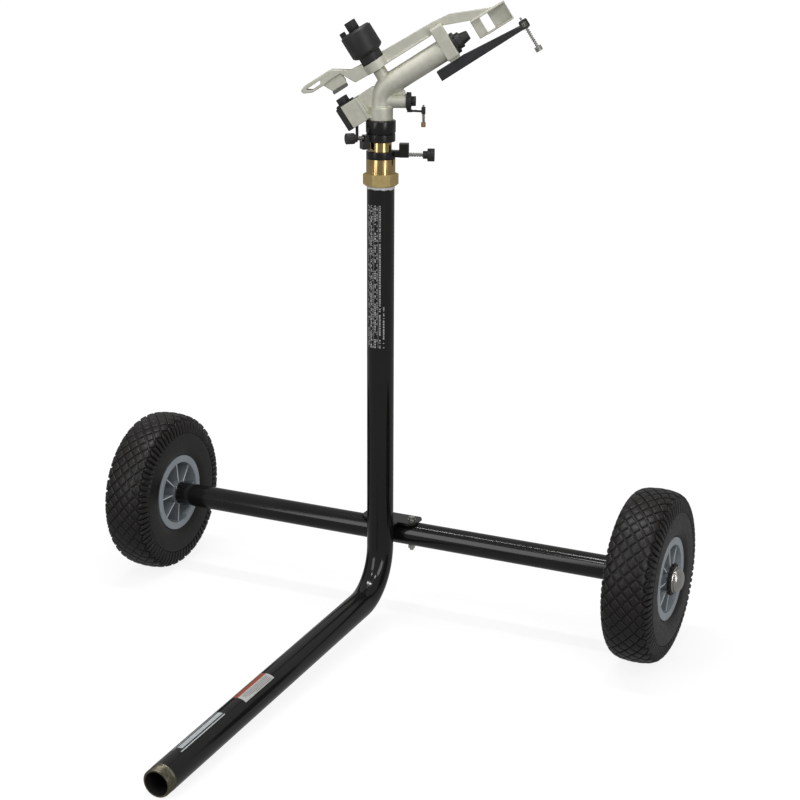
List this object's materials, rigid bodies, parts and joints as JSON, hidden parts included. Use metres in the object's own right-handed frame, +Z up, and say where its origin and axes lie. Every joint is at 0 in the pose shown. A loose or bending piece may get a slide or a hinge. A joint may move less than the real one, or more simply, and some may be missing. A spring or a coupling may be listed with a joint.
{
  "type": "impact sprinkler",
  "caption": "Impact sprinkler gun on a bent supply pipe with a two-wheeled axle; swivelling head with spring-loaded drive arm, trip stops and inlet thread.",
  "frame": {"origin": "middle of the bounding box at ground level", "axes": "+Z up, axle along X, supply leg points to -Y"},
  "size_m": [0.9846, 0.842, 0.9835],
  "materials": {
    "black_paint": "gloss black enamel",
    "zinc_plate": "zinc-plated steel",
    "spring_steel": "bright spring wire",
    "screw_steel": "plain steel, knurled",
    "screw_brass": "dull brass",
    "ptfe": "white thread tape",
    "brass": "turned and polished brass",
    "seal": "bearing washers",
    "cast_zinc": "satin nickel-plated casting",
    "black_plastic": "matt black moulding",
    "black_metal": "satin black coating",
    "pad": "grey strike pad",
    "tyre": "dull black tread rubber",
    "rim": "blue-grey moulded plastic",
    "bearing_steel": "ground steel",
    "ring_black": "black moulding",
    "chrome": "bright chrome"
  },
  "bodies": {
    "frame": {"riser_pipe": "black_paint", "axle_tube": "black_paint", "mounting_plate": "black_paint", "plate_weld": "black_paint", "axle_bolts": "zinc_plate", "bolt_washers": "zinc_plate", "bolt_nuts": "zinc_plate", "wheel_spindles": "zinc_plate", "spindle_washers": "zinc_plate", "spindle_nuts": "zinc_plate", "ptfe_tape": "ptfe", "bearing_sleeve": "brass"},
    "left_wheel": {"left_tyre": "tyre", "left_rim": "rim", "left_wheel_bearings": "bearing_steel", "left_hub_ring": "ring_black", "left_hub_cap": "chrome"},
    "right_wheel": {"right_tyre": "tyre", "right_rim": "rim", "right_wheel_bearings": "bearing_steel", "right_hub_ring": "ring_black", "right_hub_cap": "chrome"},
    "upper_collar": {"upper_trip_collar": "black_plastic", "upper_collar_spring": "spring_steel"},
    "upper_screw": {"upper_collar_screw": "screw_steel", "upper_collar_knob": "black_plastic"},
    "lower_collar": {"lower_trip_collar": "black_plastic", "lower_collar_spring": "spring_steel"},
    "lower_screw": {"lower_collar_screw": "screw_steel", "lower_collar_knob": "black_plastic"},
    "head": {"gun_body": "cast_zinc", "bearing_tube": "brass", "bearing_washers": "seal", "bearing_spring": "spring_steel", "bearing_cover": "black_plastic", "main_nozzle": "black_plastic", "side_nozzle_cap": "black_plastic", "side_nozzle_plug": "black_plastic", "jet_arm": "black_plastic", "jet_spring": "spring_steel", "diffuser_arm": "black_metal", "diffuser_bolts": "zinc_plate", "diffuser_clip": "spring_steel", "diffuser_spring": "spring_steel", "fulcrum_pin": "zinc_plate", "fulcrum_washer": "zinc_plate", "spring_housing": "black_plastic", "arm_spring": "spring_steel", "trip_box": "cast_zinc", "trip_cover": "black_plastic", "trip_spring": "spring_steel"},
    "drive_arm": {"drive_arm": "cast_zinc", "deflector_vane": "cast_zinc", "arm_bushing": "brass", "strike_pad": "pad"},
    "tension_knob": {"tension_knob": "black_plastic"},
    "diffuser_screw": {"diffuser_screw": "screw_steel"},
    "jet_screw": {"jet_screw": "screw_brass"},
    "trip_lever": {"trip_lever": "black_metal"},
    "trip_plunger": {"trip_plunger": "black_plastic"}
  },
  "joints": [
    {"name": "left_wheel_spin", "type": "hinge", "parent": "frame", "child": "left_wheel", "pos_m": [-0.4383, 0.28674, 0.1343], "axis": [1, 0, 0], "continuous": true},
    {"name": "right_wheel_spin", "type": "hinge", "parent": "frame", "child": "right_wheel", "pos_m": [0.4383, 0.28674, 0.1343], "axis": [1, 0, 0], "continuous": true},
    {"name": "head_swivel", "type": "hinge", "parent": "frame", "child": "head", "pos_m": [0, 0.24574, 0.785], "axis": [0, 0, 1], "range_deg": [-132, 12]},
    {"name": "upper_collar_turn", "type": "hinge", "parent": "frame", "child": "upper_collar", "pos_m": [0, 0.24574, 0.78], "axis": [0, 0, 1], "range_deg": [0, 75]},
    {"name": "lower_collar_turn", "type": "hinge", "parent": "frame", "child": "lower_collar", "pos_m": [0, 0.24574, 0.754], "axis": [0, 0, 1], "range_deg": [-35, 0]},
    {"name": "upper_screw_turn", "type": "hinge", "parent": "upper_collar", "child": "upper_screw", "pos_m": [-0.03069, 0.21283, 0.78], "axis": [-0.682, -0.7314, 0], "range_deg": [-360, 360]},
    {"name": "lower_screw_turn", "type": "hinge", "parent": "lower_collar", "child": "lower_screw", "pos_m": [0.05563, 0.26821, 0.754], "axis": [0.9272, 0.3746, 0], "range_deg": [-360, 360]},
    {"name": "arm_swing", "type": "hinge", "parent": "head", "child": "drive_arm", "pos_m": [-0.00688, 0.24296, 0.88777], "axis": [-0.4982, -0.2013, 0.8434], "range_deg": [0, 95], "stiffness_Nm_per_rad": 0.25, "springref_deg": -40.11},
    {"name": "tension_knob_turn", "type": "hinge", "parent": "head", "child": "tension_knob", "pos_m": [-0.03876, 0.23008, 0.94175], "axis": [-0.4982, -0.2013, 0.8434], "range_deg": [-180, 180]},
    {"name": "diffuser_screw_turn", "type": "hinge", "parent": "head", "child": "diffuser_screw", "pos_m": [0.20611, 0.32739, 0.93295], "axis": [-0.4982, -0.2013, 0.8434], "range_deg": [-720, 720]},
    {"name": "jet_screw_turn", "type": "hinge", "parent": "head", "child": "jet_screw", "pos_m": [0.05934, 0.26971, 0.81], "axis": [0, 0, 1], "range_deg": [-720, 720]},
    {"name": "trip_lever_swing", "type": "hinge", "parent": "head", "child": "trip_lever", "pos_m": [-0.03375, 0.23318, 0.812], "axis": [0.9272, 0.3746, 0], "range_deg": [0, 20]},
    {"name": "trip_plunger_slide", "type": "slide", "parent": "head", "child": "trip_plunger", "axis": [-0.4982, -0.2013, 0.8434], "range_m": [0, 0.0045]}
  ],
  "couplings": [
    {"joint": "trip_plunger_slide", "follows": "trip_lever_swing", "m_per_rad": 0.012891}
  ]
}
